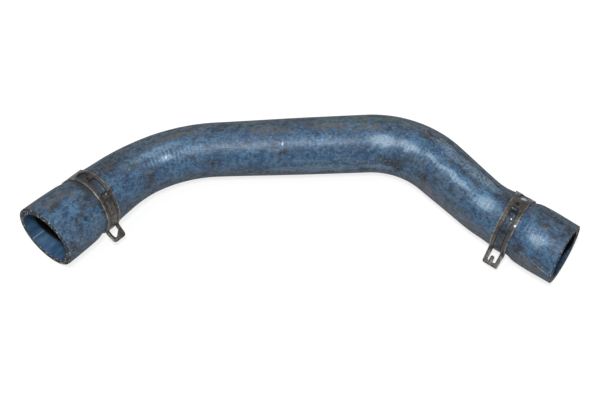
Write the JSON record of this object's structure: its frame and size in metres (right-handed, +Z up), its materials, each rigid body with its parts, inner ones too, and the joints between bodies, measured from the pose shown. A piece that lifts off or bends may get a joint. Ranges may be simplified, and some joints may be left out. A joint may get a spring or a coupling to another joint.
{
  "type": "radiator hose",
  "caption": "Moulded rubber radiator hose with two bends and a wider cuff at each end, held by a spring band clamp near each mouth.",
  "frame": {"origin": "middle of the footprint, on the surface that the hose lies on", "axes": "+X from the wider left mouth to the right mouth, +Y away from the mouths to the middle run, +Z up"},
  "size_m": [0.3998, 0.1378, 0.0553],
  "materials": {
    "hose_rubber": "steel-blue moulded rubber, semi-gloss, mottled with dark grime",
    "clamp_steel": "dark grey-brown spring steel, dull, worn bright along the edges"
  },
  "bodies": {
    "root": {"hose": "hose_rubber", "left_clamp": "clamp_steel", "right_clamp": "clamp_steel"}
  },
  "joints": []
}
